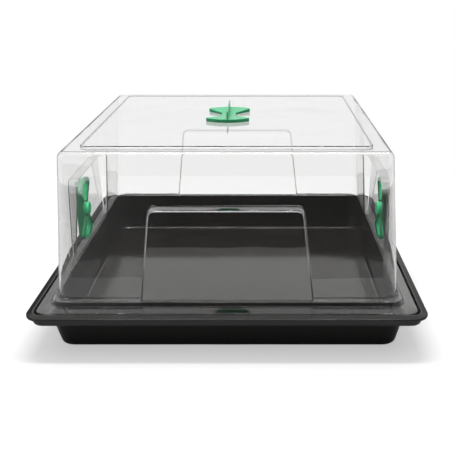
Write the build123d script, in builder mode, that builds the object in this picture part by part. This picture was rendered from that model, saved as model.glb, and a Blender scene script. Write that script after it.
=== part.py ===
from build123d import *
from math import radians, tan
import os

os.makedirs("parts", exist_ok=True)

# Humidity dome tray: a square black tray, a clear dome whose rim stands in a channel round the
# tray, and three green rotary vents on the dome. Millimetres, +Z up, -Y is the front, and the
# origin is the middle of the tray's underside.

# ---- tray ----
tray_span = 550.0            # over the lip, both ways
tray_height = 62.0           # underside to the top of the lip
tray_wall = 2.0
tray_corner = 24.0           # corner of the lip, in plan
lip_width = 8.0              # lip that stands out beyond the channel
lip_drop = 5.3               # top of the lip to the foot of its turned-down edge
lip_fall = 2.2               # how far the lip's top falls on its way out
channel_corner = 16.0        # outside corner of the channel, in plan
channel_depth = 15.0         # top of the lip to the channel's floor
channel_width = 19.0         # channel's floor, across
basin_corner = 22.0          # corner of the basin's mouth, in plan
basin_lean = 9.0             # how far the basin's wall leans in on its way down
basin_foot = 6.0             # fillet round the underside
lip_round = 1.4
edge_round = 1.6             # the other pressed edges of the tray
ridge_play = 0.7             # inside of the dome's plinth to the ridge round the basin
ridge_headroom = 0.6         # top of the ridge to the underside of the dome's ledge
ridge_round = 0.8
gap_floor = 15.0             # where the basin's two walls part, above the tray's underside

# ---- dome ----
dome_wall = 1.5
rim_gap = 2.5                # tray's channel wall to the dome's rim
rim_corner = 15.0            # corner of the rim, in plan
flange_width = 16.5          # rim to the plinth
flange_rise = 2.5            # how far the flange climbs on its way in
flange_over_lip = 0.6        # rim's top above the tray's lip
plinth_height = 6.5
plinth_lean = 1.5
plinth_corner = 17.0
ledge_width = 6.0            # ledge between the plinth and the wall
ledge_rise = 0.6
wall_height = 203.9          # ledge to the shoulder
wall_draft = 4.7             # degrees
wall_corner = 25.0           # corner of the wall at the ledge; the draft tightens it upwards
shoulder_round = 8.0
panel_margin = 24.0          # wall's top edge to the raised panel on the roof
panel_rise = 3.0
panel_corner = 12.0
pressed_round = 2.2          # outward edges of the rim and the plinth
panel_round = 1.2
crease_round = 1.5           # inward crease at the plinth's foot
foot_round = 4.5             # hollow curve from the ledge up into the wall

# ---- bays: flat vertical panels, one on each side of the dome ----
bay_width_foot = 239.0
bay_width_head = 207.0
bay_height = 132.0           # top of the plinth to the bay's top edge
bay_round = 2.5              # edges of the bay's face
bay_valley = 2.0             # where the bay's sides meet the wall and the ledge
bay_corner = 10.0            # upper corners of the bay's face

# ---- vents ----
top_vent_shift = -5.0        # the top vent stands a little left of the middle
vent_radius = 52.0
vent_spread = 43.0           # half the angle of one wing, degrees
vent_neck = 22.0             # waist between the two wings
vent_dish_height = 2.2       # dome's surface to the top of the cap, at its middle
vent_rim_height = 5.6        # the same at the rim: each wing climbs on its way out
vent_wall = 1.6
vent_corner = 5.0
vent_edge_round = 1.0
vent_lift = 0.25             # gap under the skirt
fin_height = 17.5            # dome's surface to the top of the grip
fin_thickness = 1.8
fin_round = 3.0
hub_diameter = 18.0
pivot_diameter = 12.0
pivot_play = 0.08            # running fit in the dome, on the radius
retainer_diameter = 22.0
retainer_thickness = 4.0
retainer_play = 0.1          # endplay under the retainer
port_margin = 6.5            # wing's outer edge to the port under it
port_land = 5.0              # hub to the port
port_spread = 35.0           # half the angle of one port, degrees
side_vent_height = 53.5      # plinth's top to the centre of a side vent

# ---- worked out ----
half_span = tray_span / 2
channel_floor = tray_height - channel_depth
channel_mouth = half_span - lip_width - tray_wall
basin_mouth = channel_mouth - channel_width

rim_half = channel_mouth - rim_gap
rim_top = tray_height + flange_over_lip
flange_top = rim_top + flange_rise
plinth_half = rim_half - flange_width
plinth_top = flange_top + plinth_height
bay_face = plinth_half - plinth_lean
ledge_top = plinth_top + ledge_rise
wall_half = bay_face - ledge_width
shoulder_top = ledge_top + wall_height
wall_half_top = wall_half - wall_height * tan(radians(wall_draft))
panel_half = wall_half_top - panel_margin
panel_top = shoulder_top + panel_rise
side_vent_z = plinth_top + side_vent_height

underside = channel_floor - tray_wall
basin_out = basin_mouth + tray_wall
gap_half = basin_mouth - (channel_floor - gap_floor) * basin_lean / underside
ridge_inset = dome_wall + ridge_play
ridge_top = plinth_top - dome_wall - ridge_headroom
eps = 1.0                    # overshoot of cuts past open faces


def square(half, corner, inset=0):
    """The plan of a rounded square, shrunk by the inset."""
    side = 2 * (half - inset)
    with BuildSketch() as plan:
        RectangleRounded(side, side, corner - inset)
    return plan.sketch


def beyond(edge, distance):
    """True for an edge whose middle lies further out than the distance, along X or Y."""
    middle = edge @ 0.5
    return max(abs(middle.X), abs(middle.Y)) > distance


def bay_form(inset):
    """One bay on the front, with its foot sunk in the plinth."""
    foot = bay_width_foot / 2 - inset
    head = bay_width_head / 2 - inset
    top = plinth_top + bay_height - inset
    bottom = flange_top
    with BuildPart() as bay:
        with BuildSketch(Plane.XZ.offset(bay_face - inset)) as face:
            with BuildLine():
                Polyline((-foot, bottom), (foot, bottom), (head, top), (-head, top), close=True)
            make_face()
            fillet(face.vertices().group_by(Axis.Y)[-1], bay_corner - inset)
        extrude(amount=wall_half_top - bay_face)
        front_edges = bay.edges().group_by(Axis.Y)[0]
        rounded = front_edges.filter_by(lambda e: e.center().Z > bottom + eps)
        fillet(rounded, bay_round - inset)
    return bay.part


def meets_wall(point, inset):
    """True for the middle of an edge that a bay makes where it runs into the dome's wall."""
    out = max(abs(point.X), abs(point.Y))
    along = min(abs(point.X), abs(point.Y))
    climb = point.Z + inset - ledge_top
    wall_here = wall_half - inset - climb * tan(radians(wall_draft))
    beside_bay = along < bay_width_foot / 2 and eps < climb < bay_height
    return beside_bay and abs(out - wall_here) < eps / 2


def dome_form(inset):
    """The dome as a solid, shrunk by the inset. Two of them, one wall apart, make the shell."""
    floor = channel_floor - (eps if inset else 0)
    bay = bay_form(inset)
    with BuildPart() as form:
        # rim, then the flange that climbs to the plinth
        with BuildSketch(Plane.XY.offset(floor)):
            add(square(rim_half, rim_corner, inset))
        extrude(amount=rim_top - inset - floor)
        with BuildSketch(Plane.XY.offset(rim_top - inset)):
            add(square(rim_half, rim_corner, inset))
        with BuildSketch(Plane.XY.offset(flange_top - inset)):
            add(square(plinth_half, plinth_corner, inset))
        loft(ruled=True)
        # plinth and its sloping ledge
        with BuildSketch(Plane.XY.offset(flange_top - inset)):
            add(square(plinth_half, plinth_corner, inset))
        with BuildSketch(Plane.XY.offset(plinth_top - inset)):
            add(square(bay_face, plinth_corner, inset))
        loft(ruled=True)
        with BuildSketch(Plane.XY.offset(plinth_top - inset)):
            add(square(bay_face, plinth_corner, inset))
        with BuildSketch(Plane.XY.offset(ledge_top - inset)):
            add(square(wall_half, wall_corner, inset))
        loft(ruled=True)
        # leaning wall up to the shoulder
        with BuildSketch(Plane.XY.offset(ledge_top - inset)):
            add(square(wall_half, wall_corner, inset))
        extrude(amount=wall_height, taper=wall_draft)
        roof_edges = form.edges().group_by(Axis.Z)[-1]
        fillet(roof_edges, shoulder_round - inset)
        for level in (rim_top, plinth_top):
            pressed_edges = form.edges().filter_by_position(Axis.Z, level - inset, level - inset)
            fillet(pressed_edges, pressed_round - inset)
        for level, hollow in ((flange_top, crease_round), (ledge_top, foot_round)):
            creases = form.edges().filter_by_position(Axis.Z, level - inset, level - inset)
            fillet(creases, hollow + inset)
        # raised panel on the roof
        with BuildSketch(Plane.XY.offset(shoulder_top - inset)):
            add(square(panel_half, panel_corner, inset))
        extrude(amount=panel_rise)
        panel_edges = form.edges().group_by(Axis.Z)[-1]
        fillet(panel_edges, panel_round)
        # one bay on each side, blended into the wall
        with PolarLocations(0, 4):
            add(bay)
        valleys = form.edges().filter_by(lambda e: meets_wall(e.center(), inset))
        fillet(valleys, bay_valley + inset)
    return form.part


def wing_pair(radius, spread, waist, corner):
    """Two round-ended wings along Y joined by a waist: the plan of a vent's cap."""
    reach = 2 * radius
    with BuildSketch() as plan:
        with BuildLine():
            side = reach * tan(radians(spread))
            Polyline((0, 0), (side, reach), (-side, reach), close=True)
        make_face()
        mirror(about=Plane.XZ)
        Circle(radius, mode=Mode.INTERSECT)
        Rectangle(waist, waist / tan(radians(spread)))
        tips = plan.vertices().filter_by(lambda v: abs(v.Y) > radius / 2)
        fillet(tips, corner)
    return plan.sketch


def cap_form(place, inset):
    """A vent's cap as a solid, shrunk by the inset: two wings that climb from the hub outwards."""
    dish = vent_dish_height - inset
    rim = vent_rim_height - inset
    upright = Plane(place.origin, x_dir=place.y_dir, z_dir=place.x_dir)
    with BuildPart() as form:
        with BuildSketch(place.offset(vent_lift)):
            add(wing_pair(vent_radius, vent_spread, vent_neck, vent_corner))
            if inset:
                offset(amount=-inset, mode=Mode.REPLACE)
        extrude(amount=rim + eps)
        with BuildSketch(upright):
            with BuildLine():
                Polyline((0, dish), (vent_radius, rim), (vent_radius + eps, rim),
                         (vent_radius + eps, rim + 2 * eps), (0, rim + 2 * eps), close=True)
            make_face()
        revolve(axis=Axis(place.origin, place.z_dir), mode=Mode.SUBTRACT)
    return form.part


def port_pair():
    """The two ports in the dome that one vent's wings cover."""
    inner = hub_diameter / 2 + port_land
    outer = vent_radius - port_margin
    side = vent_radius * tan(radians(port_spread))
    with BuildSketch() as plan:
        with BuildLine():
            Polyline((0, 0), (side, vent_radius), (-side, vent_radius), close=True)
        make_face()
        mirror(about=Plane.XZ)
        Circle(outer, mode=Mode.INTERSECT)
        Circle(inner, mode=Mode.SUBTRACT)
        fillet(plan.vertices(), vent_corner / 2)
    return plan.sketch


# each vent's place on the dome: outward normal, with the wings along the plane's Y
vents = {
    "top": Plane(origin=(top_vent_shift, 0, panel_top), x_dir=(1, 0, 0), z_dir=(0, 0, 1)),
    "left": Plane(origin=(-bay_face, 0, side_vent_z), x_dir=(0, -1, 0), z_dir=(-1, 0, 0)),
    "right": Plane(origin=(bay_face, 0, side_vent_z), x_dir=(0, 1, 0), z_dir=(1, 0, 0)),
}

# ---- tray ----
with BuildPart() as tray:
    # basin, which widens on its way up to the channel
    with BuildSketch():
        add(square(basin_out - basin_lean, basin_corner))
    with BuildSketch(Plane.XY.offset(underside)):
        add(square(basin_out, basin_corner))
    loft(ruled=True)
    foot_edges = tray.edges().group_by(Axis.Z)[0]
    fillet(foot_edges, basin_foot)
    # channel round the basin
    with BuildSketch(Plane.XY.offset(underside)):
        add(square(half_span - lip_width, channel_corner))
    extrude(amount=tray_height - underside)
    channel_edges = tray.edges().filter_by_position(Axis.Z, underside, underside)
    channel_rim = channel_edges.filter_by(lambda e: beyond(e, basin_out + eps))
    fillet(channel_rim, edge_round + tray_wall)
    # lip, which falls on its way out and has its edge turned down
    with BuildSketch(Plane.XY.offset(tray_height - lip_drop)):
        add(square(half_span, tray_corner))
    extrude(amount=lip_drop - lip_fall)
    with BuildSketch(Plane.XY.offset(tray_height - lip_fall)):
        add(square(half_span, tray_corner))
    with BuildSketch(Plane.XY.offset(tray_height)):
        add(square(half_span, tray_corner, lip_width))
    loft(ruled=True)
    lip_edges = tray.edges().filter_by(lambda e: beyond(e, half_span - lip_round))
    fillet(lip_edges.group_by(Axis.Z)[-1], lip_round)
    with BuildSketch(Plane.XY.offset(tray_height - lip_drop)):
        add(square(half_span, tray_corner, tray_wall))
        add(square(half_span - lip_width, channel_corner), mode=Mode.SUBTRACT)
    extrude(amount=lip_drop - lip_fall - tray_wall, mode=Mode.SUBTRACT)
    # the channel's hollow, which takes the dome's rim
    with BuildSketch(Plane.XY.offset(channel_floor)):
        add(square(half_span - lip_width, channel_corner, tray_wall))
    extrude(amount=channel_depth, mode=Mode.SUBTRACT)
    inner_lip = tray.edges().group_by(Axis.Z)[-1].filter_by(
        lambda e: not beyond(e, channel_mouth + eps))
    fillet(inner_lip, lip_round / 2)
    # gap between the basin's outer wall and the wall that carries the ridge
    with BuildSketch(Plane.XY.offset(gap_floor)):
        add(square(gap_half, basin_corner))
    with BuildSketch(Plane.XY.offset(channel_floor)):
        add(square(basin_mouth, basin_corner))
    loft(ruled=True, mode=Mode.SUBTRACT)
    mouth_edges = tray.edges().filter_by_position(Axis.Z, channel_floor, channel_floor).filter_by(
        lambda e: not beyond(e, basin_mouth + eps))
    fillet(mouth_edges, edge_round)
    # ridge that stands inside the dome's plinth
    with BuildSketch(Plane.XY.offset(gap_floor)):
        add(square(gap_half, basin_corner))
    with BuildSketch(Plane.XY.offset(ridge_top)):
        add(square(bay_face, plinth_corner, ridge_inset))
    loft(ruled=True)
    # the basin's hollow
    with BuildSketch(Plane.XY.offset(tray_wall)):
        add(square(basin_out - basin_lean, basin_corner, tray_wall))
    with BuildSketch(Plane.XY.offset(ridge_top)):
        add(square(bay_face, plinth_corner, ridge_inset + tray_wall))
    loft(ruled=True, mode=Mode.SUBTRACT)
    ridge_edges = tray.edges().group_by(Axis.Z)[-1]
    fillet(ridge_edges, ridge_round)
    floor_edges = tray.edges().filter_by_position(Axis.Z, tray_wall, tray_wall)
    fillet(floor_edges, basin_foot - tray_wall)
tray.part.label = "tray"
export_step(tray.part, "parts/tray.step")

# ---- dome ----
dome_outside = dome_form(0)
dome_inside = dome_form(dome_wall)
with BuildPart() as dome:
    add(dome_outside)
    add(dome_inside, mode=Mode.SUBTRACT)
    for place in vents.values():
        with BuildSketch(place):
            add(port_pair())
            Circle(pivot_diameter / 2 + pivot_play)
        extrude(amount=-2 * dome_wall, mode=Mode.SUBTRACT)
dome.part.label = "dome"
export_step(dome.part, "parts/dome.step")

# ---- vents ----
stem_reach = dome_wall + retainer_play + retainer_thickness
for name, place in vents.items():
    outward = Axis(place.origin, place.z_dir)
    upright = Plane(place.origin, x_dir=place.y_dir, z_dir=place.x_dir)
    cap_outside = cap_form(place, 0)
    cap_inside = cap_form(place, vent_wall)
    with BuildPart() as shutter:
        # cap, hollow inside its skirt
        add(cap_outside)
        rim_edges = shutter.edges().group_by(outward)[-1]
        fillet(rim_edges, vent_edge_round)
        add(cap_inside, mode=Mode.SUBTRACT)
        # hub that seats on the dome, and the stem through it
        with BuildSketch(place):
            Circle(hub_diameter / 2)
        extrude(amount=vent_dish_height)
        with BuildSketch(place):
            Circle(pivot_diameter / 2)
        extrude(amount=-stem_reach)
        # grip along the wings
        with BuildSketch(upright.offset(-fin_thickness / 2)) as grip:
            reach = vent_radius - vent_wall
            with BuildLine():
                Polyline((0, vent_lift), (reach, vent_rim_height - vent_wall), (reach, fin_height),
                         (-reach, fin_height), (-reach, vent_rim_height - vent_wall), close=True)
            make_face()
            fillet(grip.vertices().group_by(Axis.Y)[-1], fin_round)
        extrude(amount=fin_thickness)
    shutter.part.label = name + "_vent_shutter"
    export_step(shutter.part, f"parts/{name}_vent_shutter.step")

    with BuildPart() as retainer:
        with BuildSketch(place.offset(-stem_reach)):
            Circle(retainer_diameter / 2)
            Circle(pivot_diameter / 2, mode=Mode.SUBTRACT)
        extrude(amount=retainer_thickness)
        inner_rim = retainer.edges().group_by(outward)[0].sort_by(SortBy.RADIUS)[-1]
        fillet(inner_rim, edge_round)
    retainer.part.label = name + "_vent_retainer"
    export_step(retainer.part, f"parts/{name}_vent_retainer.step")
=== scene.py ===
# %% [markdown]
# # A humidity dome tray
# A square black tray, a clear dome that lifts off and three green rotary vents. The solid model is
# already made and packed. It comes in here as a fixed frame, in metres, and this notebook gives it
# its finishes, its light and its camera.

import bpy
from math import radians
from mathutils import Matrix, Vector


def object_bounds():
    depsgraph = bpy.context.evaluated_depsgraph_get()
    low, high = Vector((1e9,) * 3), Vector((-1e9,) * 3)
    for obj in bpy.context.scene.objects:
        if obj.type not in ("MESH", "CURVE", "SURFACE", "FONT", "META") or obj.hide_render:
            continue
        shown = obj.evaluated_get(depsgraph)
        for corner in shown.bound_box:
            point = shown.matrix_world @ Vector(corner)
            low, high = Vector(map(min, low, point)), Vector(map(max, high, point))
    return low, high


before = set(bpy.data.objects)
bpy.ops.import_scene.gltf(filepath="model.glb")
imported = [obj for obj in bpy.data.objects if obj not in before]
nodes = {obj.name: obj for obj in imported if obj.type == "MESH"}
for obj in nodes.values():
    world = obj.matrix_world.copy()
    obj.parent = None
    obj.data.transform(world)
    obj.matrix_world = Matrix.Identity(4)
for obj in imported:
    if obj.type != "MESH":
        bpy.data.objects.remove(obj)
cad_low, cad_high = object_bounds()
print("CAD box from", [round(v, 4) for v in cad_low], "to", [round(v, 4) for v in cad_high])

# %% [markdown]
# ## A short way to write shader maths
# A finish is a small graph of nodes. Wiring it by hand hides the idea, so two helpers do it: Wire
# wraps a socket and lets + - * build Math nodes, and Finish makes any other node in one call.

# %% Wires and finishes
class Wire:
    """One output socket of a finish, with arithmetic that adds Math nodes."""

    def __init__(self, finish, socket):
        self.finish = finish
        self.socket = socket

    def _join(self, operation, first, second):
        return self.finish.node("ShaderNodeMath", {"operation": operation}, {0: first, 1: second})

    def __add__(self, other):
        return self._join("ADD", self, other)

    def __radd__(self, other):
        return self._join("ADD", other, self)

    def __sub__(self, other):
        return self._join("SUBTRACT", self, other)

    def __rsub__(self, other):
        return self._join("SUBTRACT", other, self)

    def __mul__(self, other):
        return self._join("MULTIPLY", self, other)

    def __rmul__(self, other):
        return self._join("MULTIPLY", other, self)


class Finish:
    """The nodes of one material, or of the sky, made one call at a time."""

    def __init__(self, owner):
        self.owner = owner
        owner.use_nodes = True
        self.tree = owner.node_tree
        self.tree.nodes.clear()

    def node(self, kind, settings=None, sockets=None, out=0):
        """A node of this kind: its settings first, then its sockets' values or wires."""
        made = self.tree.nodes.new(kind)
        for key, value in (settings or {}).items():
            setattr(made, key, value)
        for key, value in (sockets or {}).items():
            if isinstance(value, Wire):
                self.tree.links.new(value.socket, made.inputs[key])
            else:
                made.inputs[key].default_value = value
        return Wire(self, made.outputs[out]) if made.outputs else made

    def ramp(self, value, low, high):
        """The value stretched so that low becomes 0 and high becomes 1, and held there."""
        sockets = {"Value": value, "From Min": low, "From Max": high}
        return self.node("ShaderNodeMapRange", {"clamp": True}, sockets)

    def noise(self, place, scale, detail=2.0, roughness=0.5):
        """Smooth noise from 0 to 1, with this many bumps to the metre."""
        sockets = {"Vector": place, "Scale": scale, "Detail": detail, "Roughness": roughness}
        return self.node("ShaderNodeTexNoise", {"noise_dimensions": "3D"}, sockets)

    def blend(self, factor, first, second):
        """A colour between two colours."""
        sockets = {0: factor, 6: first, 7: second}
        return self.node("ShaderNodeMix", {"data_type": "RGBA"}, sockets, out=2)

    def place(self):
        """The point's own place on the piece, in metres."""
        return self.node("ShaderNodeTexCoord", out=3)

    def close(self, shader):
        """Wires the shader to the surface and returns the material."""
        self.node("ShaderNodeOutputMaterial", None, {"Surface": shader})
        return self.owner


def new_finish(name):
    """An empty finish for a new material."""
    return Finish(bpy.data.materials.new(name))


print("helpers ready: Wire and Finish")

# %% [markdown]
# ## Black tray plastic
# The tray is sheet, drawn down hot over a mould. It comes out nearly black with a high gloss, and
# the sheet's uneven cooling leaves broad, shallow waves that bend every reflection a little. A
# coarse noise gives the waves, a fine one the orange peel, and a third a light dusting.

# %% Tray finish
def black_sheet():
    finish = new_finish("black_sheet")
    place = finish.place()
    waves = finish.noise(place, 7.0, detail=1.0)
    peel = finish.noise(place, 900.0, detail=1.0)
    dust = finish.ramp(finish.noise(place, 60.0, detail=6.0, roughness=0.7), 0.55, 0.85)
    colour = finish.blend(dust * 0.5, (0.011, 0.0098, 0.0088, 1), (0.024, 0.022, 0.02, 1))
    relief = finish.node("ShaderNodeBump", None,
                         {"Strength": 1.0, "Distance": 0.0015, "Height": waves + peel * 0.001})
    shader = finish.node("ShaderNodeBsdfPrincipled", None, {
        "Base Color": colour,
        "Roughness": 0.12 + dust * 0.06,
        "IOR": 1.5,
        "Normal": relief,
    })
    return finish.close(shader)


# %% [markdown]
# ## Clear dome plastic
# The dome is clear sheet, formed the same way. Light passes through both faces of the wall, and
# what is seen of it is the sheen of each face, which grows towards a glancing view. Lamps have to
# reach the tray through it, so rays on their way to a lamp meet a plain tint in place of glass.

# %% Dome finish
def clear_sheet():
    finish = new_finish("clear_sheet")
    place = finish.place()
    waves = finish.noise(place, 9.0, detail=1.0)
    relief = finish.node("ShaderNodeBump", None,
                         {"Strength": 1.0, "Distance": 0.0004, "Height": waves})
    film = finish.noise(place, 25.0, detail=4.0)
    glass = finish.node("ShaderNodeBsdfPrincipled", None, {
        "Base Color": (0.99, 0.992, 0.988, 1),
        "Roughness": 0.004 + film * 0.012,
        "IOR": 1.5,
        "Transmission Weight": 1.0,
        "Normal": relief,
    })
    tint = finish.node("ShaderNodeBsdfTransparent", None, {"Color": (0.95, 0.955, 0.95, 1)})
    to_lamp = finish.node("ShaderNodeLightPath", out="Is Shadow Ray")
    shader = finish.node("ShaderNodeMixShader", None, {0: to_lamp, 1: glass, 2: tint})
    return finish.close(shader)


# %% [markdown]
# ## Green vent plastic
# The vents are injection moulded: an even mint green with a clean gloss, a trace of flow marks
# spreading from the hub and a fine satin grain.

# %% Vent finish
def green_moulding():
    finish = new_finish("green_moulding")
    place = finish.place()
    flow = finish.noise(place, 40.0, detail=3.0)
    grain = finish.noise(place, 1500.0, detail=1.0)
    colour = finish.blend(flow, (0.035, 0.50, 0.21, 1), (0.055, 0.58, 0.26, 1))
    relief = finish.node("ShaderNodeBump", None,
                         {"Strength": 0.4, "Distance": 0.0002, "Height": grain})
    shader = finish.node("ShaderNodeBsdfPrincipled", None, {
        "Base Color": colour,
        "Roughness": 0.22 + flow * 0.08,
        "IOR": 1.5,
        "Normal": relief,
    })
    return finish.close(shader)


# %% [markdown]
# ## Finishes on pieces
# The tray is black, the dome is clear, and both pieces of every vent are green.

# %% Dress the nodes
def dress(name, material):
    """Puts the material on every slot of a CAD node, whose mesh stays as it is."""
    piece = nodes[name]
    if not piece.material_slots:
        piece.data.materials.append(material)
    for each in piece.material_slots:
        each.material = material


green = green_moulding()
dress("tray", black_sheet())
dress("dome", clear_sheet())
for side in ("top", "left", "right"):
    dress(f"{side}_vent_shutter", green)
    dress(f"{side}_vent_retainer", green)
print("dressed", len(nodes), "nodes")

# %% [markdown]
# ## A white floor
# The floor has two jobs: to look white, and to take the tray's soft shadow. A matt white does the
# second. A glow that only sight lines meet lifts it to white without lighting the tray, so what
# the gloss mirrors is the matt floor alone.

# %% Floor
def sight_line(finish):
    """1 for sight lines, straight or through clear plastic, and 0 for rays that light or mirror."""
    straight = finish.node("ShaderNodeLightPath", out="Is Camera Ray")
    through = finish.node("ShaderNodeLightPath", out="Is Transmission Ray")
    mirrors = finish.node("ShaderNodeLightPath", out="Glossy Depth")
    unmirrored = finish.node("ShaderNodeMath", {"operation": "LESS_THAN"}, {0: mirrors, 1: 0.5})
    return (straight + through) * unmirrored


def floor_sheet(half, matt_white, glow):
    """A square white floor, from its half-span in metres and the two parts of its white."""
    corners = [(-half, -half, 0), (half, -half, 0), (half, half, 0), (-half, half, 0)]
    mesh = bpy.data.meshes.new("floor")
    mesh.from_pydata(corners, [], [(0, 1, 2, 3)])
    floor = bpy.data.objects.new("floor", mesh)
    bpy.context.scene.collection.objects.link(floor)
    finish = new_finish("floor_white")
    matt = finish.node("ShaderNodeBsdfDiffuse", None, {"Color": (matt_white,) * 3 + (1,)})
    light = finish.node("ShaderNodeEmission", None, {"Strength": sight_line(finish) * glow})
    both = finish.node("ShaderNodeAddShader", None, {0: matt, 1: light})
    mesh.materials.append(finish.close(both))
    return floor


floor = floor_sheet(half=0.62, matt_white=0.62, glow=0.46)
print("floor", [round(v, 2) for v in floor.dimensions])

# %% [markdown]
# ## The studio
# Gloss black has no colour of its own to speak of: what shows is the room it mirrors. The room here
# is a white sweep that rises behind the tray and runs on overhead, with dim sides and a dim front.
# It gives the basin's floor its grey, keeps the lip dark and leaves the dome's front wall clear.

# %% Sky
def sky_dome(front, back, sides, narrow, wide):
    """The studio for light and reflections, and plain white for sight lines.

    The sweep is bright within narrow of the middle and dim beyond wide, and broadens overhead. Light
    that the clear plastic gathers from the sides is brighter, so that its rounded edges stay light.
    """
    lift, broadening = 0.8, 0.6
    world = bpy.data.worlds.new("sky")
    sky = Finish(world)
    split = sky.node("ShaderNodeSeparateXYZ", None, {0: sky.node("ShaderNodeTexCoord", out=0)})
    across, depth, height = (Wire(sky, end) for end in split.socket.node.outputs)
    behind = sky.ramp(depth + height * lift, -0.5, 0.5)
    off_axis = sky.node("ShaderNodeMath", {"operation": "ABSOLUTE"}, {0: across})
    aloft = sky.node("ShaderNodeMath", {"operation": "MAXIMUM"}, {0: height, 1: 0.0})
    dim_side = sky.ramp(off_axis - aloft * broadening, narrow, wide)
    through = sky.node("ShaderNodeLightPath", out="Is Transmission Ray")
    sweep = front + behind * (1.0 - dim_side) * (back - front)
    studio = sweep + through * dim_side * sides
    strength = studio + sight_line(sky) * (1.0 - studio)
    shade = sky.node("ShaderNodeBackground", None, {"Color": (1, 1, 1, 1), "Strength": strength})
    sky.node("ShaderNodeOutputWorld", None, {"Surface": shade})
    bpy.context.scene.world = world
    return world


world = sky_dome(front=0.1, back=0.86, sides=0.7, narrow=0.12, wide=0.32)
print("world", world.name)
bpy.context.scene.view_settings.view_transform = "Standard"

# %% [markdown]
# ## Two lamps
# A long softbox overhead puts the thin highlights on the dome's shoulders and on the bays. A small
# one at the left gives the corners an edge.

# %% Lamps
def softbox(name, place, aim, size, power):
    """A rectangular lamp at a place, turned to face a point."""
    lamp = bpy.data.lights.new(name, "AREA")
    lamp.shape = "RECTANGLE"
    lamp.size, lamp.size_y = size
    lamp.energy = power
    holder = bpy.data.objects.new(name, lamp)
    holder.location = place
    turn = (Vector(aim) - Vector(place)).to_track_quat("-Z", "Y")
    holder.rotation_euler = turn.to_euler()
    bpy.context.scene.collection.objects.link(holder)
    return holder


softbox("overhead", (0, 0.1, 1.9), (0, 0, 0.1), (1.2, 0.2), 18)
softbox("left_window", (-1.7, -0.9, 1.2), (0, 0, 0.15), (0.4, 1.2), 3)

# %% [markdown]
# ## The camera
# It looks down at the front from a little right of the middle, near enough for the back of the
# tray to come out a good deal narrower than the front. The picture is shifted sideways, so that
# upright edges stay upright and the tray sits in the middle.

# %% Camera
span = cad_high.x - cad_low.x
lip_top = 0.062                  # the tray's lip, below the top of its inner ridge
aim_down = 20.4                  # degrees
focal_share = 1.566              # focal length over the picture's width
sensor = 36
sideways = 0.0846 * span
ahead = 1.5526 * span
above = 0.8125 * span
camera_data = bpy.data.cameras.new("camera")
camera_data.sensor_width = sensor
camera_data.lens = sensor * focal_share
camera_data.shift_x = -0.0724
camera = bpy.data.objects.new("camera", camera_data)
camera.location = (sideways, cad_low.y - ahead, lip_top + above)
camera.rotation_euler = (radians(90 - aim_down), 0, 0)
bpy.context.scene.collection.objects.link(camera)
bpy.context.scene.camera = camera
print("camera at", [round(v, 3) for v in camera.location])
